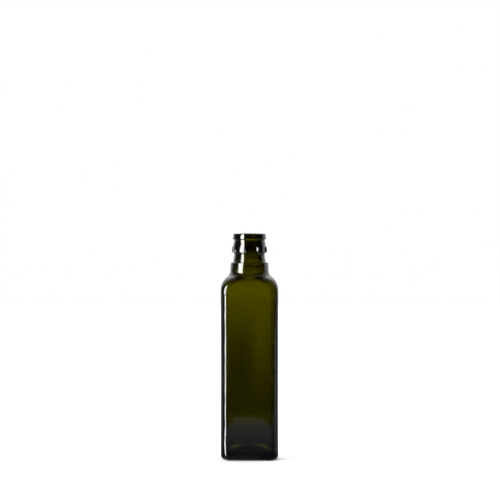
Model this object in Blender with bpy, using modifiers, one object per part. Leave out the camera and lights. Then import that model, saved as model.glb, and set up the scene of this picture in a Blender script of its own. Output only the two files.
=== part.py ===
# Square glass oil bottle, empty and open: a square body with rounded corners,
# a short shoulder that turns round, a collar, and a neck finish with a lip ring
# and locking teeth. Metres, +Z up, origin at the centre of the foot, front at -Y.
import math

import bmesh
import bpy
from mathutils import Matrix, Vector

# Body
HEIGHT = 0.196
BODY_HALF = 0.0246
BODY_CORNER = 0.0068
PANEL_DIP = 0.00014  # how far the four flat sides sink at half height
WALL = 0.0033
INNER_CORNER = 0.0070  # the glass is thicker in the corners than on the flats

# Base: knurled bars carry the bottle, and the middle of the underside is pushed up
FOOT_Z = 0.00072
HEEL_RADIUS = 0.0043
SEAT_HALF = 0.0154  # inner edge of the flat ring that the bars stand on
SEAT_CORNER = 0.0060
PUSH_UP = 0.0042
FLOOR_Z = 0.0066
FLOOR_RISE = 0.0032
FLOOR_FILLET = 0.0048

# Shoulder: an arc that starts upright at the top of the flat sides
SHOULDER_Z = 0.1458
SHOULDER_RADIUS = 0.0208
SHOULDER_TOP = 0.1645
ROUND_HALF = 0.0162  # half width at which the section has turned fully round

# Lip ring
LIP_TOP_RADIUS = 0.01375
LIP_RADIUS = 0.01450
LIP_BOTTOM = 0.1913
LIP_EDGE = 0.0006

# Band that a cap grips, flaring downwards
BAND_TOP_RADIUS = 0.0132
BAND_RADIUS = 0.01415
BAND_FLARE_TOP = 0.1895
BAND_FLARE_BOTTOM = 0.1850
BAND_BOTTOM = 0.1795
BAND_BEND = 0.0060

# Neck below the band, and the collar it stands on
NECK_RADIUS = 0.01315
NECK_WAIST_Z = 0.1770
NECK_FOOT_RADIUS = 0.0140
COLLAR_TOP = 0.1709
COLLAR_TOP_RADIUS = 0.0160
COLLAR_RADIUS = 0.0165
COLLAR_BOTTOM = 0.1630
COLLAR_EDGE = 0.0010
COLLAR_FOOT_RADIUS = 0.0172
COLLAR_FOOT_Z = 0.1614
STEP_FILLET = 0.0004

# Bore
BORE_RADIUS = 0.00925
BORE_FOOT_RADIUS = 0.0097
MOUTH_EDGE = 0.0010

# Teeth on the band, which stop a fitted cap from turning
TOOTH_COUNT = 8
TOOTH_FIRST = math.radians(-17)  # from the front, towards +X
TOOTH_WIDTH = 0.0029
TOOTH_REACH = 0.0150
TOOTH_BOTTOM = 0.1798
TOOTH_TOP = 0.1846
TOOTH_CHAMFER = 0.0006

# Bars under the foot
BARS_PER_SIDE = 11
BAR_PITCH = 0.00298
BAR_WIDTH = 0.0019
BAR_LENGTH = 0.0036
BAR_CENTRE = 0.0177  # from the bottle's axis to the middle of a bar
BAR_CHAMFER = 0.00045

# How finely the round shapes are divided
CORNER_STEPS = 10  # points round each corner of a section
ROUND_STEPS = 4 * CORNER_STEPS
ARC_STEPS = 6
EDGE_STEPS = 2

SINK = 0.0010  # how deep a fused piece is buried in what carries it
SMOOTH_ANGLE = math.radians(35)
GLASS_COLOUR = (0.060, 0.052, 0.003, 1.0)


def mix(low, high, share):
    return low + (high - low) * share


def shares(count):
    """Even steps from just above 0 up to 1."""
    return [(step + 1) / count for step in range(count)]


def clear_scene():
    for obj in list(bpy.data.objects):
        bpy.data.objects.remove(obj, do_unlink=True)


def new_collection(name, hidden=False):
    collection = bpy.data.collections.new(name)
    collection.hide_render = hidden
    bpy.context.scene.collection.children.link(collection)
    return collection


def new_object(name, bm, collection):
    mesh = bpy.data.meshes.new(name)
    bm.to_mesh(mesh)
    bm.free()
    obj = bpy.data.objects.new(name, mesh)
    collection.objects.link(obj)
    return obj


def glass_material():
    material = bpy.data.materials.new("olive green glass")
    material.use_nodes = True
    shader = material.node_tree.nodes["Principled BSDF"]
    shader.inputs["Base Color"].default_value = GLASS_COLOUR
    shader.inputs["Metallic"].default_value = 0.0
    shader.inputs["Roughness"].default_value = 0.04
    shader.inputs["IOR"].default_value = 1.52
    shader.inputs["Transmission Weight"].default_value = 0.6
    return material


# A section is (height, half width, corner radius). It is a circle where the
# corner radius reaches the half width.
def section_points(z, half, corner):
    corner = min(corner, half)
    centre = Vector((half - corner, half - corner, z))
    points = []
    for quarter in range(4):
        turn = Matrix.Rotation(quarter * math.pi / 2, 3, "Z")
        for step in range(CORNER_STEPS):
            angle = (step + 0.5) / CORNER_STEPS * math.pi / 2
            arm = Vector((math.cos(angle), math.sin(angle), 0.0)) * corner
            points.append(turn @ (centre + arm))
    return points


def loft(name, sections, collection):
    """A closed solid through the sections, which run from its bottom to its top."""
    bm = bmesh.new()
    rings = []
    for section in sections:
        rings.append([bm.verts.new(point) for point in section_points(*section)])
    for low, high in zip(rings, rings[1:]):
        for index in range(ROUND_STEPS):
            after = (index + 1) % ROUND_STEPS
            bm.faces.new((low[index], low[after], high[after], high[index]))
    bm.faces.new(reversed(rings[0]))
    bm.faces.new(rings[-1])
    return new_object(name, bm, collection)


def rounded(corners):
    """The outline through (radius, height, rounding) corners, with each one rounded off."""
    points = []
    places = [Vector(corner[:2]) for corner in corners]
    for index, (across, height, rounding) in enumerate(corners):
        here = places[index]
        if rounding == 0:
            points.append(tuple(here))
            continue
        back = (places[index - 1] - here).normalized()
        ahead = (places[index + 1] - here).normalized()
        opening = back.angle(ahead)
        reach = rounding / math.tan(opening / 2)
        centre = here + (back + ahead).normalized() * (rounding / math.sin(opening / 2))
        start = here + back * reach - centre
        sweep = start.angle_signed(here + ahead * reach - centre)
        for step in range(EDGE_STEPS + 1):
            turn = Matrix.Rotation(-sweep * step / EDGE_STEPS, 2)
            points.append(tuple(centre + turn @ start))
    return points


def turned(name, profile, collection):
    """A solid of revolution. The profile runs down its outer side, axis to axis."""
    bm = bmesh.new()
    points = [bm.verts.new((radius, 0.0, z)) for radius, z in profile]
    for start, end in zip(points, points[1:]):
        bm.edges.new((start, end))
    obj = new_object(name, bm, collection)
    screw = obj.modifiers.new("Turn", "SCREW")
    screw.steps = ROUND_STEPS
    screw.render_steps = ROUND_STEPS
    screw.use_merge_vertices = True
    screw.merge_threshold = 0.00001
    return obj


def quarter_round(share):
    """How far a quarter arc has gone across and up after this share of its turn."""
    return math.sin(share * math.pi / 2), 1 - math.cos(share * math.pi / 2)


def underside_sections():
    sections = []
    for share in shares(ARC_STEPS):
        half = SEAT_HALF * share
        corner = mix(half, SEAT_CORNER, share)
        sections.append((FOOT_Z + PUSH_UP * math.cos(share * math.pi / 2), half, corner))
    return sections


def heel_sections():
    sections = [(FOOT_Z, BODY_HALF - HEEL_RADIUS, BODY_CORNER)]
    for share in shares(ARC_STEPS - 1):
        across, up = quarter_round(share)
        half = BODY_HALF - HEEL_RADIUS * (1 - across)
        sections.append((FOOT_Z + HEEL_RADIUS * up, half, BODY_CORNER))
    return sections


def panel_sections():
    low = FOOT_Z + HEEL_RADIUS
    sections = []
    for share in shares(ARC_STEPS):
        half = BODY_HALF - PANEL_DIP * math.sin(share * math.pi)
        sections.append((mix(low, SHOULDER_Z, share), half, BODY_CORNER))
    return sections


def shoulder_sections(half_width, corner, radius, top, count):
    """The arc in from the flat sides. The corners grow until the section is round."""
    full_turn = math.asin((top - SHOULDER_Z) / radius)
    sections = []
    for share in shares(count):
        rise = radius * math.sin(share * full_turn)
        half = half_width - radius + math.sqrt(radius**2 - rise**2)
        roundness = (half_width - half) / (half_width - ROUND_HALF)
        sections.append((SHOULDER_Z + rise, half, mix(corner, ROUND_HALF, roundness)))
    return sections


def body_sections():
    shoulder = shoulder_sections(
        BODY_HALF, BODY_CORNER, SHOULDER_RADIUS, SHOULDER_TOP, ARC_STEPS + 4
    )
    return underside_sections() + heel_sections() + panel_sections() + shoulder


def floor_sections(flat_half):
    sections = []
    for share in shares(ARC_STEPS - 2):
        half = flat_half * share
        rise = FLOOR_RISE * (1 + math.cos(share * math.pi)) / 2
        sections.append((FLOOR_Z + rise, half, mix(half, INNER_CORNER, share)))
    for share in shares(ARC_STEPS - 2):
        across, up = quarter_round(share)
        half = flat_half + FLOOR_FILLET * across
        sections.append((FLOOR_Z + FLOOR_FILLET * up, half, INNER_CORNER))
    return sections


def bore_sections(foot_z):
    edge_z = HEIGHT - MOUTH_EDGE
    wide = BORE_RADIUS + 2 * MOUTH_EDGE
    return [
        (mix(foot_z, edge_z, 0.5), BORE_RADIUS, BORE_RADIUS),
        (edge_z, BORE_RADIUS, BORE_RADIUS),
        (HEIGHT, BORE_RADIUS + MOUTH_EDGE, BORE_RADIUS + MOUTH_EDGE),
        (HEIGHT + MOUTH_EDGE, wide, wide),
    ]


def cavity_sections():
    half_width = BODY_HALF - WALL
    radius = SHOULDER_RADIUS - WALL
    bore_foot = SHOULDER_Z + math.sqrt(radius**2 - (radius - half_width + BORE_FOOT_RADIUS) ** 2)
    upright = [(SHOULDER_Z, half_width, INNER_CORNER)]
    shoulder = shoulder_sections(half_width, INNER_CORNER, radius, bore_foot, ARC_STEPS + 2)
    return floor_sections(half_width - FLOOR_FILLET) + upright + shoulder + bore_sections(bore_foot)


def finish_profile():
    """Lip ring, band, neck and collar, then back to the axis inside the shoulder."""
    core = BORE_RADIUS + WALL
    core_z = COLLAR_FOOT_Z - 4 * SINK
    return rounded(
        [
            (0.0, HEIGHT, 0.0),
            (LIP_TOP_RADIUS, HEIGHT, LIP_EDGE),
            (LIP_RADIUS, LIP_BOTTOM, LIP_EDGE / 3),
            (BAND_TOP_RADIUS, LIP_BOTTOM, STEP_FILLET / 2),
            (BAND_TOP_RADIUS, BAND_FLARE_TOP, BAND_BEND),
            (BAND_RADIUS, BAND_FLARE_BOTTOM, BAND_BEND),
            (BAND_RADIUS, BAND_BOTTOM, STEP_FILLET),
            (NECK_RADIUS, BAND_BOTTOM, STEP_FILLET),
            (NECK_RADIUS, NECK_WAIST_Z, BAND_BEND),
            (NECK_FOOT_RADIUS, COLLAR_TOP, COLLAR_EDGE),
            (COLLAR_TOP_RADIUS, COLLAR_TOP, COLLAR_EDGE),
            (COLLAR_RADIUS, COLLAR_BOTTOM, COLLAR_EDGE),
            (COLLAR_FOOT_RADIUS, COLLAR_FOOT_Z, 0.0),
            (core, core_z, 0.0),
            (0.0, core_z, 0.0),
        ]
    )


def block(name, size, centre, turn, chamfer, is_chamfered, collection):
    """A box with some edges chamfered, placed and then turned about the Z axis."""
    bm = bmesh.new()
    bmesh.ops.create_cube(bm, size=1.0)
    bmesh.ops.scale(bm, verts=bm.verts, vec=size)
    edges = [edge for edge in bm.edges if is_chamfered(edge)]
    bmesh.ops.bevel(bm, geom=edges, offset=chamfer, segments=1, affect="EDGES")
    bmesh.ops.translate(bm, verts=bm.verts, vec=centre)
    bmesh.ops.transform(bm, verts=bm.verts, matrix=Matrix.Rotation(turn, 4, "Z"))
    return new_object(name, bm, collection)


def on_outer_face(edge):
    return all(vert.co.y < 0 for vert in edge.verts)


def on_lower_face(edge):
    return all(vert.co.z < 0 for vert in edge.verts)


def add_teeth(collection):
    depth = TOOTH_REACH - BAND_RADIUS + SINK
    size = (TOOTH_WIDTH, depth, TOOTH_TOP - TOOTH_BOTTOM)
    centre = (0.0, depth / 2 - TOOTH_REACH, (TOOTH_TOP + TOOTH_BOTTOM) / 2)
    for index in range(TOOTH_COUNT):
        turn = TOOTH_FIRST + index * 2 * math.pi / TOOTH_COUNT
        block(f"tooth {index}", size, centre, turn, TOOTH_CHAMFER, on_outer_face, collection)


def add_foot_bars(collection):
    height = FOOT_Z + SINK
    size = (BAR_WIDTH, BAR_LENGTH, height)
    for side in range(4):
        turn = side * math.pi / 2
        for index in range(BARS_PER_SIDE):
            along = (index - (BARS_PER_SIDE - 1) / 2) * BAR_PITCH
            centre = (along, -BAR_CENTRE, height / 2)
            name = f"bar {side} {index}"
            block(name, size, centre, turn, BAR_CHAMFER, on_lower_face, collection)


def fuse(obj, collection):
    modifier = obj.modifiers.new("Finish, teeth and foot bars", "BOOLEAN")
    modifier.operation = "UNION"
    modifier.solver = "EXACT"
    modifier.operand_type = "COLLECTION"
    modifier.collection = collection


def hollow_out(obj, cutter):
    modifier = obj.modifiers.new("Cavity", "BOOLEAN")
    modifier.operation = "DIFFERENCE"
    modifier.solver = "EXACT"
    modifier.object = cutter


def apply_modifiers(obj):
    graph = bpy.context.evaluated_depsgraph_get()
    obj.data = bpy.data.meshes.new_from_object(obj.evaluated_get(graph))
    obj.data.name = obj.name
    obj.modifiers.clear()


def remove_collection(collection):
    for obj in list(collection.objects):
        bpy.data.objects.remove(obj, do_unlink=True)
    bpy.data.collections.remove(collection)


def finish_surface(obj):
    obj.data.shade_smooth()
    obj.data.set_sharp_from_angle(angle=SMOOTH_ANGLE)
    obj.data.materials.clear()
    obj.data.materials.append(glass_material())


def main():
    clear_scene()
    parts = new_collection("square oil bottle")
    fused = new_collection("fused pieces", hidden=True)
    cutters = new_collection("cutters", hidden=True)

    bottle = loft("bottle", body_sections(), parts)
    turned("finish", finish_profile(), fused)
    add_teeth(fused)
    add_foot_bars(fused)
    fuse(bottle, fused)
    hollow_out(bottle, loft("cavity", cavity_sections(), cutters))

    apply_modifiers(bottle)
    remove_collection(fused)
    remove_collection(cutters)
    finish_surface(bottle)


main()
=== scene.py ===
import math

import bmesh
import bpy
from mathutils import Matrix, Vector, noise


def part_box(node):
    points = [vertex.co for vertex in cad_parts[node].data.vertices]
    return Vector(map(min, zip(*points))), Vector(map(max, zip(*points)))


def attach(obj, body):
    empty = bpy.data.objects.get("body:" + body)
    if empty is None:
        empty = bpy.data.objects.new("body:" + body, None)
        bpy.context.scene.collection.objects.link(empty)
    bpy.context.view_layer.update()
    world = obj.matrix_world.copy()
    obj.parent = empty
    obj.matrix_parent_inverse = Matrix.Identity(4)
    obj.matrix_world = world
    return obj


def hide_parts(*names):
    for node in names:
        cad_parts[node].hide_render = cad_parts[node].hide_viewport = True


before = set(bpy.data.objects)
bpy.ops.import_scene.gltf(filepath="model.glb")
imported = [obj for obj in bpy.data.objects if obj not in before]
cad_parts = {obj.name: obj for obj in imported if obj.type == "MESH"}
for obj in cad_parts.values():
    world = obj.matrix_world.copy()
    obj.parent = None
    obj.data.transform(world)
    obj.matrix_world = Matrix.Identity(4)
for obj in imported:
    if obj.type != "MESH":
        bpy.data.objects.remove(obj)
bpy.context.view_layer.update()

# The bottle's shapes are in millimetres, in the frame of the CAD bottle, and the studio's in metres
mm = 0.001
# steps round a ring and along each form, and the turn in degrees from which an edge is sharp
fineness = {"round": 240, "panel": 36, "arc": 14, "edge": 4, "sharpDeg": 40}


def linearColour(hexCode):
    channels = [int(hexCode[i:i + 2], 16) / 255 for i in (1, 3, 5)]
    linear = [c / 12.92 if c <= 0.04045 else ((c + 0.055) / 1.055) ** 2.4 for c in channels]
    return (*linear, 1.0)


def addNode(tree, kind, settings=None, inputs=None):
    # an input is a plain value, a socket or a node, which gives its first output
    node = tree.nodes.new(kind)
    for name, value in (settings or {}).items():
        setattr(node, name, value)
    for name, value in (inputs or {}).items():
        socket = node.inputs[name]
        if isinstance(value, bpy.types.Node):
            value = value.outputs[0]
        if isinstance(value, bpy.types.NodeSocket):
            tree.links.new(value, socket)
        else:
            socket.default_value = value
    return node


def emptyTree(owner):
    owner.use_nodes = True
    owner.node_tree.nodes.clear()
    return owner.node_tree


def fillRamp(ramp, stops):
    # grey stops as place and brightness, in rising order
    while len(ramp.elements) > 1:
        ramp.elements.remove(ramp.elements[0])
    ramp.elements[0].position = stops[0][0]
    ramp.elements[0].color = (stops[0][1],) * 3 + (1.0,)
    for position, value in stops[1:]:
        element = ramp.elements.new(position)
        element.color = (value, value, value, 1.0)


def addObject(name, data):
    made = bpy.data.objects.new(name, data)
    bpy.context.scene.collection.objects.link(made)
    return made


def meshObject(name, bm):
    mesh = bpy.data.meshes.new(name)
    bm.to_mesh(mesh)
    bm.free()
    return addObject(name, mesh)


def mix(low, high, share):
    return low + (high - low) * share


def shares(count):
    return [(step + 1) / count for step in range(count)]


def sectionPoint(half, corner, share):
    # walks a rounded square by length, from the middle of its +X side
    corner = min(corner, half)
    flat = half - corner
    arc = corner * math.pi / 2
    quarter, along = divmod(share * 4, 1.0)
    distance = along * (2 * flat + arc)
    if distance <= flat:
        x, y = half, distance
    elif distance < flat + arc:
        angle = (distance - flat) / corner
        x, y = flat + corner * math.cos(angle), flat + corner * math.sin(angle)
    else:
        x, y = 2 * flat + arc - distance, half
    return Matrix.Rotation(quarter * math.pi / 2, 2) @ Vector((x, y))


def withSupport(points, margin=0.12):
    # extra rings close to each end of a straight stretch keep its shading flat
    dense = [points[0]]
    for before, after in zip(points, points[1:]):
        length = math.dist(before, after)
        if length > 4 * margin:
            for part in (margin / length, 0.5, 1 - margin / length):
                dense.append(tuple(Vector(before).lerp(Vector(after), part)))
        dense.append(after)
    return dense


def rounded(corners, count):
    # (radius, height, rounding) corners, each rounded off by an arc
    points = []
    places = [Vector(corner[:2]) for corner in corners]
    for index, here in enumerate(places):
        rounding = corners[index][2]
        if rounding == 0:
            points.append(tuple(here))
            continue
        back = (places[index - 1] - here).normalized()
        ahead = (places[index + 1] - here).normalized()
        opening = back.angle(ahead)
        reach = rounding / math.tan(opening / 2)
        centre = here + (back + ahead).normalized() * (rounding / math.sin(opening / 2))
        start = here + back * reach - centre
        sweep = start.angle_signed(here + ahead * reach - centre)
        for step in range(count + 1):
            turn = Matrix.Rotation(-sweep * step / count, 2)
            points.append(tuple(centre + turn @ start))
    return withSupport(points)


bodyShape = {
    "half": 24.87,  # half the width across the flat sides
    "corner": 6.8,
    "panelDip": 0.14,  # how far the flat sides sink at half height
    "wall": 3.3,
    "innerCorner": 4.0,
    "footZ": 0.6,
    "heelRadius": 4.9,
    "seatHalf": 15.4,  # half the width inside the flat ring that carries the foot bars
    "seatCorner": 6.0,
    "pushUp": 3.8,  # how far the base is pushed up inside that ring
    "pushUpTip": 0.05,
    "floorZ": 6.6,
    "floorRidge": [(11.5, 12.6, 1.2), (5.0, 9.8, 2.5)],  # the raised floor: reach, height and rounding
    "floorMiddle": 0.3,
    "floorFillet": 4.2,
    "floorTurn": 0.95,  # how far round, in radians, the wall's fillet goes before the floor rises
    "shoulderZ": 147.5,
    "shoulderRadius": 14.5,
    "roundHalf": 17.7,  # half width at which the section has turned round
    "collarJoin": 159.9,  # height at which the shoulder meets the collar
    "squareness": 0.92,  # below 1 the shoulder turns round sooner as it rises
    "innerWave": {"depth": 0.012, "length": 30.0},  # slow unevenness left by blowing, on the inside
}


def domeShare(share):
    # height of the push-up from its rim at 0 to its middle at 1: steep at the rim, level in the middle
    return 1 - (1 - share) ** 2


def undersideSections(s):
    sections = []
    for share in shares(fineness["arc"]):
        half = s["seatHalf"] * share
        z = s["footZ"] + s["pushUp"] * domeShare(1 - share)
        sections.append((z, half, mix(half, s["seatCorner"], share)))
    return sections


def heelSections(s):
    sections = []
    for share in [0.0] + shares(fineness["arc"]):
        half = s["half"] - s["heelRadius"] * (1 - math.sin(share * math.pi / 2))
        z = s["footZ"] + s["heelRadius"] * (1 - math.cos(share * math.pi / 2))
        sections.append((z, half, s["corner"]))
    return sections


def panelSections(s):
    low = s["footZ"] + s["heelRadius"]
    sections = []
    for share in shares(fineness["panel"]):
        half = s["half"] - s["panelDip"] * math.sin(share * math.pi)
        sections.append((mix(low, s["shoulderZ"], share), half, s["corner"]))
    return sections


def shoulderSections(s, halfWidth, corner, radius, top, count, roundHalf):
    # an arc in height, while the rounded square turns into a circle
    fullTurn = math.asin((top - s["shoulderZ"]) / radius)
    sections = []
    for share in shares(count):
        rise = radius * math.sin(share * fullTurn)
        half = halfWidth - radius + math.sqrt(radius ** 2 - rise ** 2)
        roundness = (halfWidth - half) / (halfWidth - roundHalf)
        roundness = max(0.0, roundness) ** s["squareness"]
        sections.append((s["shoulderZ"] + rise, half, mix(corner, roundHalf, roundness)))
    return sections


neckShape = {
    "mouthRadius": 9.2,
    "mouthEdge": 1.0,
    "lipTopRadius": 13.9,
    "lipRadius": 14.8,
    "lipBottom": 191.1,
    "lipEdge": 0.6,
    "step": 0.3,  # rounding of the inner corner between lip and band
    "bandTopRadius": 13.45,
    "bandRadius": 14.4,
    "bandFlareTop": 189.5,
    "bandFlareBottom": 185.0,
    "bandBottom": 179.5,
    "bandEdge": 0.25,
    "underBand": (0.1, 0.25, 0.12),  # inner corner under the band: out from the neck, down and rounding
    "bend": 6.0,  # rounding of the slow bends of band and neck
    "neckRadius": 13.3,
    "neckWaistZ": 177.0,
    "neckFootRadius": 14.4,
    "neckFootEdge": 0.5,
    "collarTop": 170.9,
    "collarTopRadius": 16.4,
    "collarEdge": 0.6,
    "collarRadius": 16.9,
    "collarBottom": 162.2,
    "collarFoot": 1.0,  # rounding where the collar begins to spread into the shoulder
    "joinInset": 0.05,  # where that spread ends: in from the shoulder's top ring
    "joinRise": 0.9,  # and up from it
    "bore": [  # below the mouth, as radius and height
        (8.9, 190.5), (9.1, 185.0), (8.4, 180.0), (8.6, 176.0), (10.1, 172.8),
        (11.1, 170.5), (12.2, 166.5), (13.1, 162.5), (13.7, 160.4),
    ],
    "boreRounding": 2.0,
    "boreFoot": (14.5, 158.5, 2.4),  # where it opens into the shoulder: radius, height and rounding
    "boreEnd": 16.0,  # radius at which it meets the arc inside the shoulder
}


def boreTop(n, height):
    return (n["mouthRadius"], height - 3 * n["mouthEdge"], 0.0)


def neckSections(s, n, height):
    # from the collar's foot up the outside, over the lip and down into the bore
    out, down, rounding = n["underBand"]
    outline = rounded(
        [
            boreTop(n, height),
            (n["mouthRadius"], height, n["mouthEdge"]),
            (n["lipTopRadius"], height, n["lipEdge"]),
            (n["lipRadius"], n["lipBottom"], n["lipEdge"]),
            (n["bandTopRadius"], n["lipBottom"], n["step"]),
            (n["bandTopRadius"], n["bandFlareTop"], n["bend"]),
            (n["bandRadius"], n["bandFlareBottom"], n["bend"]),
            (n["bandRadius"], n["bandBottom"], n["bandEdge"]),
            (n["neckRadius"] + out, n["bandBottom"] - down, rounding),
            (n["neckRadius"], n["neckWaistZ"], n["bend"]),
            (n["neckFootRadius"], n["collarTop"], n["neckFootEdge"]),
            (n["collarTopRadius"], n["collarTop"], n["collarEdge"]),
            (n["collarRadius"], n["collarBottom"], n["collarFoot"]),
            (s["roundHalf"] - n["joinInset"], s["collarJoin"] + n["joinRise"], 0.0),
        ],
        fineness["edge"],
    )
    return [(z, radius, radius) for radius, z in reversed(outline)]


def cavitySections(s, n, height):
    # from the bore's top down to the middle of the floor
    half = s["half"] - s["wall"]
    corner = s["innerCorner"]
    radius = s["shoulderRadius"] - s["wall"]
    endRadius = n["boreEnd"]
    endZ = s["shoulderZ"] + math.sqrt(radius ** 2 - (radius - half + endRadius) ** 2)
    corners = [boreTop(n, height)]
    corners += [(across, z, n["boreRounding"]) for across, z in n["bore"]]
    corners += [n["boreFoot"], (endRadius, endZ, 0.0)]
    sections = [(z, across, across) for across, z in rounded(corners, fineness["edge"])][1:-1]
    sections += reversed(shoulderSections(s, half, corner, radius, endZ, fineness["arc"], endRadius))
    wallFoot = s["floorZ"] + s["floorFillet"]
    for share in shares(fineness["panel"]):
        sections.append((mix(s["shoulderZ"], wallFoot, share), half, corner))
    flatHalf = half - s["floorFillet"]
    for share in shares(fineness["arc"]):
        turn = share * s["floorTurn"]
        across = flatHalf + s["floorFillet"] * math.cos(turn)
        z = wallFoot - s["floorFillet"] * math.sin(turn)
        sections.append((z, across, corner))
    middleZ = s["floorRidge"][-1][1]
    floor = [(across, z, 0.0), *s["floorRidge"], (s["floorMiddle"], middleZ, 0.0)]
    for reach, level in rounded(floor, fineness["edge"])[1:]:
        sections.append((level, reach, min(reach, mix(s["roundHalf"], corner, reach / across))))
    return sections


def addRings(bm, sections, wave=None):
    count = fineness["round"]
    rings = []
    for z, half, corner in sections:
        ring = []
        for step in range(count):
            point = sectionPoint(half, corner, (step + 0.5) / count)
            place = Vector((point.x, point.y, z))
            if wave:
                outward = Vector((point.x, point.y, 0.0)).normalized()
                place += outward * noise.noise(place / wave["length"]) * wave["depth"]
            ring.append(bm.verts.new(place * mm))
        rings.append(ring)
    return rings


def buildBottleWall(s, n):
    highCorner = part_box("bottle")[1]
    height = highCorner.z / mm
    shoulder = shoulderSections(
        s, s["half"], s["corner"], s["shoulderRadius"], s["collarJoin"], 2 * fineness["arc"], s["roundHalf"]
    )
    outside = undersideSections(s) + heelSections(s) + panelSections(s) + shoulder[:-1]
    bm = bmesh.new()
    rings = addRings(bm, outside + neckSections(s, n, height))
    rings += addRings(bm, cavitySections(s, n, height), s["innerWave"])
    count = fineness["round"]
    for low, high in zip(rings, rings[1:]):
        for index in range(count):
            after = (index + 1) % count
            bm.faces.new((low[index], low[after], high[after], high[index]))
    # the middles of the underside and of the floor close the wall
    for ring, lift in ((rings[0], s["pushUpTip"]), (rings[-1], 0.0)):
        centre = sum((vert.co for vert in ring), Vector()) / count
        middle = bm.verts.new(centre + Vector((0, 0, lift * mm)))
        for index in range(count):
            bm.faces.new((middle, ring[(index + 1) % count], ring[index]))
    bmesh.ops.recalc_face_normals(bm, faces=bm.faces)
    return meshObject("bottleGlass", bm)


blockFinish = {
    "uprightSteps": 4,
    "rimSteps": 2,
    "border": 0.06,  # a narrow border and a line close to each rim keep the shading of the faces flat
    "leastFace": 1.5,  # square millimetres: smaller faces get no border
    "rimAngle": 1.2,  # radians between two faces that meet in a rim
}


def softBlock(name, size, edge, rim, taper=1.0):
    # the upright edges are rounded by edge, the level ones by rim, and the front is narrower by taper
    f = blockFinish
    bm = bmesh.new()
    bmesh.ops.create_cube(bm, size=1.0)
    bmesh.ops.scale(bm, verts=bm.verts, vec=Vector(size) * mm)
    for vert in bm.verts:
        if vert.co.y < 0:
            vert.co.x *= taper
    upright = [e for e in bm.edges if abs(e.verts[0].co.z - e.verts[1].co.z) > size[2] / 2 * mm]
    bmesh.ops.bevel(
        bm, geom=upright, offset=edge * mm, segments=f["uprightSteps"], profile=0.5, affect="EDGES"
    )
    level = [e for e in bm.edges if len(e.link_faces) == 2 and e.calc_face_angle() > f["rimAngle"]]
    bmesh.ops.bevel(bm, geom=level, offset=rim * mm, segments=f["rimSteps"], profile=0.5, affect="EDGES")
    for side in (-1, 1):
        cut = Vector((0, 0, side * (size[2] / 2 - rim - f["border"]) * mm))
        everything = bm.verts[:] + bm.edges[:] + bm.faces[:]
        bmesh.ops.bisect_plane(bm, geom=everything, plane_co=cut, plane_no=(0, 0, 1))
    flat = [face for face in bm.faces if face.calc_area() > f["leastFace"] * mm * mm]
    bmesh.ops.inset_individual(bm, faces=flat, thickness=f["border"] * mm)
    return meshObject(name, bm)


def newTree(name, inputs):
    tree = bpy.data.node_groups.new(name, "GeometryNodeTree")
    tree.interface.new_socket("Geometry", in_out="INPUT", socket_type="NodeSocketGeometry")
    tree.interface.new_socket("Geometry", in_out="OUTPUT", socket_type="NodeSocketGeometry")
    for label, kind, value in inputs:
        socket = tree.interface.new_socket(label, in_out="INPUT", socket_type=kind)
        if value is not None:
            socket.default_value = value
    return tree


def runTree(name, tree, values):
    holder = addObject(name, bpy.data.meshes.new(name))
    modifier = holder.modifiers.new(name, "NODES")
    modifier.node_group = tree
    sockets = {item.name: item.identifier for item in tree.interface.items_tree if item.in_out == "INPUT"}
    for label, value in values.items():
        modifier[sockets[label]] = value
    graph = bpy.context.evaluated_depsgraph_get()
    mesh = bpy.data.meshes.new_from_object(holder.evaluated_get(graph))
    bpy.data.objects.remove(holder)
    return addObject(name, mesh)


def finishTree(tree, copies, material):
    real = addNode(tree, "GeometryNodeRealizeInstances", inputs={"Geometry": copies})
    painted = addNode(tree, "GeometryNodeSetMaterial", inputs={"Geometry": real, "Material": material})
    addNode(tree, "NodeGroupOutput", inputs={"Geometry": painted})


toothShape = {
    "count": 8,
    "firstDeg": -12.5,  # from the front, towards +X
    "width": 4.2,  # at its root
    "taper": 0.36,  # the share of that width left at its outer face
    "reach": 15.45,  # from the axis to its outer face
    "root": 13.4,  # and to its inner one, inside the band's glass
    "bottom": 179.6,
    "top": 184.4,
    "edge": 0.4,
    "rim": 0.25,
}


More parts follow.
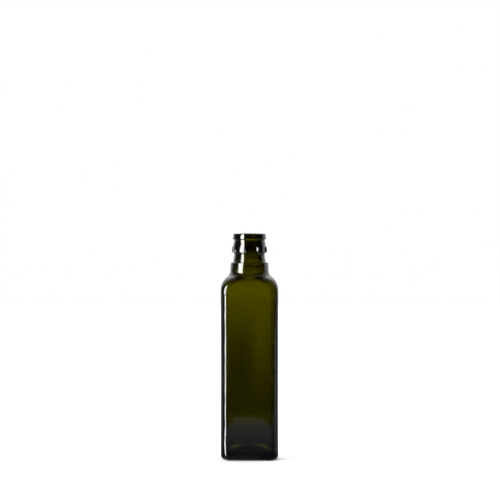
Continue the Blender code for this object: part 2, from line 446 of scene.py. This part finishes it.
def ringTree(material):
    # copies of one tooth in even steps round the Z axis
    tree = newTree("ring of teeth", [
        ("Tooth", "NodeSocketObject", None),
        ("Count", "NodeSocketInt", 8),
        ("Radius", "NodeSocketFloat", 0.014),
        ("Height", "NodeSocketFloat", 0.18),
        ("First angle", "NodeSocketFloat", 0.0),
    ])
    given = addNode(tree, "NodeGroupInput").outputs
    tooth = addNode(tree, "GeometryNodeObjectInfo", inputs={"Object": given["Tooth"]})
    points = addNode(tree, "GeometryNodePoints", inputs={"Count": given["Count"]})
    index = addNode(tree, "GeometryNodeInputIndex")
    share = addNode(tree, "ShaderNodeMath", {"operation": "DIVIDE"}, {0: index, 1: given["Count"]})
    angle = addNode(tree, "ShaderNodeMath", {"operation": "MULTIPLY_ADD"}, {
        0: share, 1: 2 * math.pi, 2: given["First angle"],
    })
    sine = addNode(tree, "ShaderNodeMath", {"operation": "SINE"}, {0: angle})
    cosine = addNode(tree, "ShaderNodeMath", {"operation": "COSINE"}, {0: angle})
    across = addNode(tree, "ShaderNodeMath", {"operation": "MULTIPLY"}, {0: sine, 1: given["Radius"]})
    ahead = addNode(tree, "ShaderNodeMath", {"operation": "MULTIPLY"}, {0: cosine, 1: given["Radius"]})
    back = addNode(tree, "ShaderNodeMath", {"operation": "MULTIPLY"}, {0: ahead, 1: -1.0})
    place = addNode(tree, "ShaderNodeCombineXYZ", inputs={"X": across, "Y": back, "Z": given["Height"]})
    moved = addNode(tree, "GeometryNodeSetPosition", inputs={"Geometry": points, "Position": place})
    turn = addNode(tree, "ShaderNodeCombineXYZ", inputs={"Z": angle})
    copies = addNode(tree, "GeometryNodeInstanceOnPoints", inputs={
        "Points": moved, "Instance": tooth.outputs["Geometry"], "Rotation": turn,
    })
    finishTree(tree, copies, material)
    return tree


def buildTeeth(s, material):
    size = (s["width"], s["reach"] - s["root"], s["top"] - s["bottom"])
    tooth = softBlock("toothBlock", size, s["edge"], s["rim"], s["taper"])
    teeth = runTree("neckTeeth", ringTree(material), {
        "Tooth": tooth,
        "Count": s["count"],
        "Radius": (s["reach"] + s["root"]) / 2 * mm,
        "Height": (s["top"] + s["bottom"]) / 2 * mm,
        "First angle": math.radians(s["firstDeg"]),
    })
    bpy.data.objects.remove(tooth)
    return teeth


barShape = {
    "perSide": 11,
    "pitch": 2.98,
    "width": 1.9,
    "length": 3.6,
    "fromAxis": 17.7,
    "buried": 1.0,  # how far a bar goes into the glass above it
    "edge": 0.5,
    "rim": 0.4,
}


def barTree(material):
    # a row of bars along the front edge, repeated on the four sides
    tree = newTree("bars under the foot", [
        ("Bar", "NodeSocketObject", None),
        ("Per side", "NodeSocketInt", 11),
        ("Pitch", "NodeSocketFloat", 0.003),
        ("From axis", "NodeSocketFloat", 0.0177),
        ("Height", "NodeSocketFloat", 0.001),
    ])
    given = addNode(tree, "NodeGroupInput").outputs
    bar = addNode(tree, "GeometryNodeObjectInfo", inputs={"Object": given["Bar"]})
    less = addNode(tree, "ShaderNodeMath", {"operation": "SUBTRACT"}, {0: given["Per side"], 1: 1.0})
    half = addNode(tree, "ShaderNodeMath", {"operation": "MULTIPLY"}, {0: less, 1: -0.5})
    startX = addNode(tree, "ShaderNodeMath", {"operation": "MULTIPLY"}, {0: half, 1: given["Pitch"]})
    front = addNode(tree, "ShaderNodeMath", {"operation": "MULTIPLY"}, {0: given["From axis"], 1: -1.0})
    start = addNode(tree, "ShaderNodeCombineXYZ", inputs={"X": startX, "Y": front, "Z": given["Height"]})
    stepAlong = addNode(tree, "ShaderNodeCombineXYZ", inputs={"X": given["Pitch"]})
    row = addNode(tree, "GeometryNodeMeshLine", {"mode": "OFFSET"}, {
        "Count": given["Per side"], "Start Location": start, "Offset": stepAlong,
    })
    side = addNode(tree, "GeometryNodeInstanceOnPoints", inputs={
        "Points": row, "Instance": bar.outputs["Geometry"],
    })
    sides = addNode(tree, "GeometryNodePoints", inputs={"Count": 4})
    index = addNode(tree, "GeometryNodeInputIndex")
    angle = addNode(tree, "ShaderNodeMath", {"operation": "MULTIPLY"}, {0: index, 1: math.pi / 2})
    turn = addNode(tree, "ShaderNodeCombineXYZ", inputs={"Z": angle})
    allSides = addNode(tree, "GeometryNodeInstanceOnPoints", inputs={
        "Points": sides, "Instance": side, "Rotation": turn,
    })
    finishTree(tree, allSides, material)
    return tree


def buildFootBars(s, footZ, material):
    height = footZ + s["buried"]
    bar = softBlock("barBlock", (s["width"], s["length"], height), s["edge"], s["rim"])
    bars = runTree("footBars", barTree(material), {
        "Bar": bar,
        "Per side": s["perSide"],
        "Pitch": s["pitch"] * mm,
        "From axis": s["fromAxis"] * mm,
        "Height": height / 2 * mm,
    })
    bpy.data.objects.remove(bar)
    return bars


def joinSolids(target, others):
    for other in others:
        modifier = target.modifiers.new(other.name, "BOOLEAN")
        modifier.operation = "UNION"
        modifier.solver = "EXACT"
        modifier.object = other
    graph = bpy.context.evaluated_depsgraph_get()
    mesh = bpy.data.meshes.new_from_object(target.evaluated_get(graph))
    target.modifiers.clear()
    target.data = mesh
    for other in others:
        bpy.data.objects.remove(other)


glassLook = {
    "colour": "#ffffff",  # of the skin: the olive comes from the depth of the glass
    "ior": 1.52,
    "roughness": 0.01,
    "straightPath": 6.6,  # mm of glass on the straight way through the body
    "passed": (0.0675, 0.0610, 0.0001),  # red, green and blue left after it
}


# Olive green container glass, blown in an iron mould: a smooth fire-polished
# skin over glass so dark that it shows its colour only where light comes through
def oliveGlass(look):
    material = bpy.data.materials.new("oliveGreenContainerGlass")
    tree = emptyTree(material)
    shader = addNode(tree, "ShaderNodeBsdfPrincipled", inputs={
        "Base Color": linearColour(look["colour"]),
        "Roughness": look["roughness"],
        "IOR": look["ior"],
        "Transmission Weight": 1.0,
    })
    path = look["straightPath"] * mm
    lost = [-math.log(part) / path for part in look["passed"]]
    density = max(lost)
    kept = [1 - part / density for part in lost]
    absorbing = addNode(tree, "ShaderNodeVolumeAbsorption", inputs={
        "Color": (*kept, 1.0), "Density": density,
    })
    addNode(tree, "ShaderNodeOutputMaterial", inputs={"Surface": shader, "Volume": absorbing})
    return material


studioLook = {
    "seen": 1.0,  # what the camera sees behind the floor
    "fill": 0.84,  # what lights the floor, the same from all sides
    # what the glass mirrors and bends: brightness by degrees round the bottle, 0 behind it, + to the right
    "compass": [
        (-180, 0.0), (-112, 0.0),  # nothing but the softbox beside the camera
        (-109, 0.085), (-58, 0.085),  # dark on the left
        (-52, 1.15), (50, 1.15),  # pale backdrop
        (77, 0.62), (180, 0.62),  # grey wall on the right
    ],
    # a level is the sine of the elevation. An edge has its degrees at the lowest
    # level, then how many it moves between one level and another
    "wallEdge": (112.0, [((-0.053, -0.048), -20.0), ((-0.034, -0.027), -15.0)]),
    "wallFade": 0.06,  # radians
    "ceiling": 0.15,
    "ceilingLevels": (0.5, 0.85),
    "softbox": 22.0,
    "softboxFar": (-122.0, [((-0.034, -0.027), 13.0), ((0.08, 0.22), -7.0)]),
    "softboxFarFade": (-0.02, 0.03),
    "softboxNear": (-136.5, [((-0.062, -0.036), -4.5)]),
    "softboxNearFade": (0.0, 0.06),
    "softboxTop": (0.74, 0.6),  # dark at the first level, full at the second
    "softboxFoot": (-0.62, -0.5),
}


def movingEdge(tree, level, degrees, moves):
    # the angle of an edge, which moves as the level rises
    angle = math.radians(degrees)
    for (low, high), move in moves:
        part = addNode(tree, "ShaderNodeMapRange", inputs={
            "Value": level, "From Min": low, "From Max": high, "To Min": 0.0, "To Max": math.radians(move),
        })
        angle = addNode(tree, "ShaderNodeMath", {"operation": "ADD"}, {0: part, 1: angle})
    return angle


def lightStudio(look):
    world = bpy.data.worlds.new("studio")
    bpy.context.scene.world = world
    tree = emptyTree(world)
    place = addNode(tree, "ShaderNodeTexCoord")
    split = addNode(tree, "ShaderNodeSeparateXYZ", inputs={"Vector": place.outputs["Generated"]})
    level = split.outputs["Z"]
    around = addNode(tree, "ShaderNodeMath", {"operation": "ARCTAN2"}, {
        0: split.outputs["X"], 1: split.outputs["Y"],
    })
    share = addNode(tree, "ShaderNodeMapRange", inputs={
        "Value": around, "From Min": -math.pi, "From Max": math.pi,
    })
    compass = addNode(tree, "ShaderNodeValToRGB", inputs={"Fac": share})
    fillRamp(compass.color_ramp, [((degrees + 180) / 360, value) for degrees, value in look["compass"]])

    # the grey wall reaches less far round the higher it is
    wallEdge = movingEdge(tree, level, *look["wallEdge"])
    pastWall = addNode(tree, "ShaderNodeMath", {"operation": "SUBTRACT"}, {0: around, 1: wallEdge})
    inside = addNode(tree, "ShaderNodeMapRange", inputs={
        "Value": pastWall, "From Min": 0.0, "From Max": look["wallFade"], "To Min": 1.0, "To Max": 0.0,
    })
    walls = addNode(tree, "ShaderNodeMath", {"operation": "MULTIPLY"}, {0: compass, 1: inside})

    # the walls give way to a dark ceiling
    ceilingLow, ceilingHigh = look["ceilingLevels"]
    ceiling = addNode(tree, "ShaderNodeMapRange", {"interpolation_type": "SMOOTHSTEP"}, {
        "Value": level, "From Min": ceilingLow, "From Max": ceilingHigh,
        "To Min": 1.0, "To Max": look["ceiling"],
    })
    room = addNode(tree, "ShaderNodeMath", {"operation": "MULTIPLY"}, {0: walls, 1: ceiling})

    # the softbox is on the left, towards the camera, and widest about level with the bottle's neck
    farEdge = movingEdge(tree, level, *look["softboxFar"])
    nearEdge = movingEdge(tree, level, *look["softboxNear"])
    pastFar = addNode(tree, "ShaderNodeMath", {"operation": "SUBTRACT"}, {0: farEdge, 1: around})
    pastNear = addNode(tree, "ShaderNodeMath", {"operation": "SUBTRACT"}, {0: around, 1: nearEdge})
    softbox = look["softbox"]
    for value, (dark, full), fade in (
        (pastFar, look["softboxFarFade"], "LINEAR"),
        (pastNear, look["softboxNearFade"], "LINEAR"),
        (level, look["softboxTop"], "SMOOTHSTEP"),
        (level, look["softboxFoot"], "SMOOTHSTEP"),
    ):
        part = addNode(tree, "ShaderNodeMapRange", {"interpolation_type": fade}, {
            "Value": value, "From Min": dark, "From Max": full,
        })
        softbox = addNode(tree, "ShaderNodeMath", {"operation": "MULTIPLY"}, {0: part, 1: softbox})

    mirrored = addNode(tree, "ShaderNodeMath", {"operation": "ADD"}, {0: room, 1: softbox})
    rays = addNode(tree, "ShaderNodeLightPath").outputs
    others = addNode(tree, "ShaderNodeMix", {"data_type": "FLOAT"}, {
        0: rays["Is Diffuse Ray"], 2: mirrored, 3: look["fill"],
    })
    shown = addNode(tree, "ShaderNodeMix", {"data_type": "FLOAT"}, {
        0: rays["Is Camera Ray"], 2: others, 3: look["seen"],
    })
    light = addNode(tree, "ShaderNodeBackground", inputs={
        "Color": linearColour("#ffffff"), "Strength": shown,
    })
    addNode(tree, "ShaderNodeOutputWorld", inputs={"Surface": light})


stripLook = {"width": 0.5, "length": 2.1, "distance": 3.0, "elevation": 70.0, "watts": 55.0}


def lightFloor(strip):
    # a long strip above and behind, seen by the table alone: the bottle's soft shadow falls forward
    lamp = bpy.data.lights.new("stripLight", "AREA")
    lamp.shape = "RECTANGLE"
    lamp.size = strip["width"]
    lamp.size_y = strip["length"]
    lamp.energy = strip["watts"]
    holder = addObject("stripLight", lamp)
    lean = math.radians(strip["elevation"])
    place = Vector((0.0, math.cos(lean), math.sin(lean))) * strip["distance"]
    holder.location = place
    holder.rotation_euler = (-place).to_track_quat("-Z", "Y").to_euler()
    holder.visible_camera = False
    holder.visible_glossy = False
    holder.visible_transmission = False


floorLook = {
    "area": (-3.0, 3.0, -3.0, 3.4),  # metres to the left, right, front and back
    "colour": "#f2f2f2",
    "roughness": 0.6,
    "litUnder": 0.4,  # mm from the floor down to the lit planes that the glass alone sees
}


def stagePlane(name, area, z):
    lowX, highX, lowY, highY = area
    bm = bmesh.new()
    corners = [(lowX, lowY), (highX, lowY), (highX, highY), (lowX, highY)]
    bm.faces.new([bm.verts.new((x, y, z)) for x, y in corners])
    plane = meshObject(name, bm)
    return plane


# Matt white painted table top, as the camera sees it
def paleFloor(look):
    floor = stagePlane("floor", look["area"], 0.0)
    material = bpy.data.materials.new("whiteTable")
    tree = emptyTree(material)
    paint = addNode(tree, "ShaderNodeBsdfPrincipled", inputs={
        "Base Color": linearColour(look["colour"]), "Roughness": look["roughness"],
    })
    addNode(tree, "ShaderNodeOutputMaterial", inputs={"Surface": paint})
    floor.data.materials.append(material)
    floor.visible_glossy = False
    floor.visible_transmission = False


def glowingPlane(name, area):
    # lit table as the glass mirrors or bends it: seen by no other ray
    plane = stagePlane(name, area, -floorLook["litUnder"] * mm)
    material = bpy.data.materials.new(name)
    tree = emptyTree(material)
    place = addNode(tree, "ShaderNodeTexCoord")
    split = addNode(tree, "ShaderNodeSeparateXYZ", inputs={"Vector": place.outputs["Object"]})
    plane.data.materials.append(material)
    plane.visible_camera = False
    plane.visible_diffuse = False
    plane.visible_shadow = False
    return tree, split.outputs


behindLook = {
    "area": (-4.0, 4.0, -0.02, 6.0),
    # height on the bottle in mm, and how bright the table is that the camera sees through it
    "level": [
        (19, 0.01), (30, 0.15), (35, 0.3), (41, 0.2), (74, 0.28), (97, 0.41), (125, 0.67), (158, 1.15),
    ],
    # how much of the left to right change shows at that height
    "change": [(50, 0.05), (78, 0.85), (97, 1.0), (118, 0.5), (139, 0.05)],
    # mm from the bottle's middle, and how bright against the mean
    "across": [(-25, 0.9), (-7, 0.66), (-1, 0.8), (9, 1.4), (15, 1.2), (25, 1.1)],
    # well to the left and right the table is lit, and the glass mirrors that
    # from nearer than it lets it through: metres where it begins and is full
    "mirrored": 0.36,
    "mirroredFrom": (0.02, 0.06),
    "through": 0.1,
    "throughFrom": (0.15, 0.3),
}


def tableBehind(look, camera):
    tree, place = glowingPlane("tableBehind", look["area"])
    depth = look["area"][3]
    share = addNode(tree, "ShaderNodeMath", {"operation": "DIVIDE"}, {0: place["Y"], 1: depth})

    def onTable(stops):
        # a height on the bottle becomes the place on the table that the camera sees through it
        places = [z * mm * camera["distance"] / (camera["height"] - z * mm) for z, value in stops]
        return [(y / depth, value) for y, (z, value) in zip(places, stops)]

    level = addNode(tree, "ShaderNodeValToRGB", inputs={"Fac": share})
    fillRamp(level.color_ramp, onTable(look["level"]))
    change = addNode(tree, "ShaderNodeValToRGB", inputs={"Fac": share})
    fillRamp(change.color_ramp, onTable(look["change"]))
    spread = addNode(tree, "ShaderNodeMath", {"operation": "MULTIPLY_ADD"}, {
        0: place["Y"], 1: 1 / camera["distance"], 2: 1.0,
    })
    across = addNode(tree, "ShaderNodeMath", {"operation": "DIVIDE"}, {0: place["X"], 1: spread})
    left, right = look["across"][0][0], look["across"][-1][0]
    along = addNode(tree, "ShaderNodeMapRange", inputs={
        "Value": across, "From Min": left * mm, "From Max": right * mm,
    })
    profile = addNode(tree, "ShaderNodeValToRGB", inputs={"Fac": along})
    fillRamp(profile.color_ramp, [((x - left) / (right - left), value) for x, value in look["across"]])
    factor = addNode(tree, "ShaderNodeMath", {"operation": "SUBTRACT"}, {0: profile, 1: 1.0})
    part = addNode(tree, "ShaderNodeMath", {"operation": "MULTIPLY_ADD"}, {0: factor, 1: change, 2: 1.0})
    bright = addNode(tree, "ShaderNodeMath", {"operation": "MULTIPLY"}, {0: level, 1: part})

    aside = addNode(tree, "ShaderNodeMath", {"operation": "ABSOLUTE"}, {0: across})
    begins, full = look["mirroredFrom"]
    mirrored = addNode(tree, "ShaderNodeMapRange", inputs={
        "Value": aside, "From Min": begins, "From Max": full, "To Min": 0.0, "To Max": look["mirrored"],
    })
    begins, full = look["throughFrom"]
    through = addNode(tree, "ShaderNodeMapRange", inputs={
        "Value": aside, "From Min": begins, "From Max": full, "To Min": 0.0, "To Max": look["through"],
    })
    rays = addNode(tree, "ShaderNodeLightPath").outputs
    beside = addNode(tree, "ShaderNodeMix", {"data_type": "FLOAT"}, {
        0: rays["Is Transmission Ray"], 2: mirrored, 3: through,
    })
    bright = addNode(tree, "ShaderNodeMath", {"operation": "MAXIMUM"}, {0: bright, 1: beside})
    glow = addNode(tree, "ShaderNodeEmission", inputs={"Color": linearColour("#ffffff"), "Strength": bright})
    addNode(tree, "ShaderNodeOutputMaterial", inputs={"Surface": glow})


frontLook = {
    "area": (-0.6, 0.6, -0.75, -0.02),
    "colour": "#eaefff",  # a little bluer than the rest
    "strength": 1.12,
    "edge": 0.60,  # metres from the bottle to the far edge of the lit table
    # share of the way to that edge, and how bright the table is there
    "level": [(0.0, 0.3), (0.08, 0.11), (0.13, 0.11), (0.24, 0.2), (0.33, 0.2), (0.48, 0.31), (1.0, 0.32)],
    "bow": 6.0e5,  # how steeply the edge comes nearer to the left and right
    "bowPower": 4.0,
    "bowLimit": 0.13,
    "raggedGrain": {"X": 22.22, "Y": 35.71},  # mm from one bump of the painted ragged edge to the next
    "raggedGrainDetail": 4.0,
    "raggedGrainRoughness": 0.7,
    "ragged": 0.45,  # metres by which the noise moves the painted edge
    "edgeFade": (-0.225, -0.215),  # metres past the edge, less half of what the noise adds
    # metres to the right for each metre ahead: where a change begins and is full
    "duller": 0.5,
    "dullerFrom": (0.25, 0.45),
    "farRight": 0.5,
    "farRightFrom": (1.5, 2.1),
    "slant": 0.72,  # the line on the left where it gives way to the softbox
    "slantStart": -0.005,
}


def tableInFront(look):
    tree, place = glowingPlane("tableInFront", look["area"])
    # painted reflection of the lit table: its far edge is painted to bow like a frown and is made ragged by
    # noise
    power = addNode(tree, "ShaderNodeMath", {"operation": "POWER"}, {0: place["X"], 1: look["bowPower"]})
    bow = addNode(tree, "ShaderNodeMath", {"operation": "MULTIPLY"}, {0: power, 1: look["bow"]})
    bow = addNode(tree, "ShaderNodeMath", {"operation": "MINIMUM"}, {0: bow, 1: look["bowLimit"]})
    raggedGrains = {}
    for axis, size in look["raggedGrain"].items():
        raggedGrains[axis] = addNode(tree, "ShaderNodeMath", {"operation": "DIVIDE"}, {
            0: place[axis], 1: size * mm,
        })
    raggedGrain = addNode(tree, "ShaderNodeCombineXYZ", inputs=raggedGrains)
    ragged = addNode(tree, "ShaderNodeTexNoise", inputs={
        "Vector": raggedGrain, "Scale": 1.0, "Detail": look["raggedGrainDetail"], "Roughness": look["raggedGrainRoughness"],
    })
    edge = addNode(tree, "ShaderNodeMath", {"operation": "SUBTRACT"}, {0: look["edge"], 1: bow})
    edge = addNode(tree, "ShaderNodeMath", {"operation": "MULTIPLY_ADD"}, {
        0: ragged, 1: look["ragged"], 2: edge,
    })
    ahead = addNode(tree, "ShaderNodeMath", {"operation": "MULTIPLY"}, {0: place["Y"], 1: -1.0})
    beyond = addNode(tree, "ShaderNodeMath", {"operation": "SUBTRACT"}, {0: ahead, 1: edge})
    fadeStart, fadeEnd = look["edgeFade"]
    inside = addNode(tree, "ShaderNodeMapRange", inputs={
        "Value": beyond, "From Min": fadeStart, "From Max": fadeEnd, "To Min": 1.0, "To Max": 0.0,
    })
    share = addNode(tree, "ShaderNodeMath", {"operation": "DIVIDE"}, {0: ahead, 1: look["edge"]})
    level = addNode(tree, "ShaderNodeValToRGB", inputs={"Fac": share})
    fillRamp(level.color_ramp, look["level"])
    bright = addNode(tree, "ShaderNodeMath", {"operation": "MULTIPLY"}, {0: level, 1: inside})

    # seen in the bottle's right corner it is duller, and lit again where the corner turns away
    aside = addNode(tree, "ShaderNodeMath", {"operation": "DIVIDE"}, {0: place["X"], 1: ahead})
    begins, full = look["dullerFrom"]
    duller = addNode(tree, "ShaderNodeMapRange", inputs={
        "Value": aside, "From Min": begins, "From Max": full, "To Min": 1.0, "To Max": look["duller"],
    })
    bright = addNode(tree, "ShaderNodeMath", {"operation": "MULTIPLY"}, {0: bright, 1: duller})
    begins, full = look["farRightFrom"]
    farRight = addNode(tree, "ShaderNodeMapRange", inputs={
        "Value": aside, "From Min": begins, "From Max": full, "To Min": 0.0, "To Max": look["farRight"],
    })
    bright = addNode(tree, "ShaderNodeMath", {"operation": "MAXIMUM"}, {0: bright, 1: farRight})
    bright = addNode(tree, "ShaderNodeMath", {"operation": "MULTIPLY"}, {0: bright, 1: look["strength"]})

    # on the left it gives way to the softbox, but only for what the glass mirrors
    slant = addNode(tree, "ShaderNodeMath", {"operation": "MULTIPLY_ADD"}, {
        0: ahead, 1: look["slant"], 2: place["X"],
    })
    left = addNode(tree, "ShaderNodeMath", {"operation": "LESS_THAN"}, {0: slant, 1: look["slantStart"]})
    rays = addNode(tree, "ShaderNodeLightPath").outputs
    mirrored = addNode(tree, "ShaderNodeMath", {"operation": "SUBTRACT"}, {
        0: 1.0, 1: rays["Is Transmission Ray"],
    })
    opened = addNode(tree, "ShaderNodeMath", {"operation": "MULTIPLY"}, {0: left, 1: mirrored})
    glow = addNode(tree, "ShaderNodeEmission", inputs={
        "Color": linearColour(look["colour"]), "Strength": bright,
    })
    clear = addNode(tree, "ShaderNodeBsdfTransparent")
    surface = addNode(tree, "ShaderNodeMixShader", inputs={0: opened, 1: glow, 2: clear})
    addNode(tree, "ShaderNodeOutputMaterial", inputs={"Surface": surface})


cameraSetup = {
    "distance": 3.0,
    "height": 0.252,
    "aimX": 0.00045,
    "aimZ": 0.18167,
    "frameWidth": 0.4343,  # what the picture spans at the bottle
    "sensor": 36.0,
}


def placeCamera(setup):
    camera = bpy.data.cameras.new("camera")
    camera.sensor_width = setup["sensor"]
    camera.lens = setup["sensor"] * setup["distance"] / setup["frameWidth"]
    holder = addObject("camera", camera)
    place = Vector((0.0, -setup["distance"], setup["height"]))
    aim = Vector((setup["aimX"], 0.0, setup["aimZ"]))
    holder.location = place
    holder.rotation_euler = (aim - place).to_track_quat("-Z", "Y").to_euler()
    bpy.context.scene.camera = holder


def main():
    glass = oliveGlass(glassLook)
    bottle = buildBottleWall(bodyShape, neckShape)
    print("bottle wall", len(bottle.data.polygons), "faces")
    teeth = buildTeeth(toothShape, glass)
    bars = buildFootBars(barShape, bodyShape["footZ"], glass)
    print("teeth", len(teeth.data.polygons), "faces, foot bars", len(bars.data.polygons), "faces")
    joinSolids(bottle, [teeth, bars])
    bottle.data.shade_smooth()
    bottle.data.set_sharp_from_angle(angle=math.radians(fineness["sharpDeg"]))
    bottle.data.materials.clear()
    bottle.data.materials.append(glass)
    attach(bottle, "root")
    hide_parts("bottle")
    print("teeth and foot bars fused", len(bottle.data.polygons), "faces")

    paleFloor(floorLook)
    tableBehind(behindLook, cameraSetup)
    tableInFront(frontLook)
    print("floor and lit table")
    lightStudio(studioLook)
    lightFloor(stripLook)
    placeCamera(cameraSetup)
    bpy.context.scene.view_settings.view_transform = "Standard"
    print("studio and camera")


main()
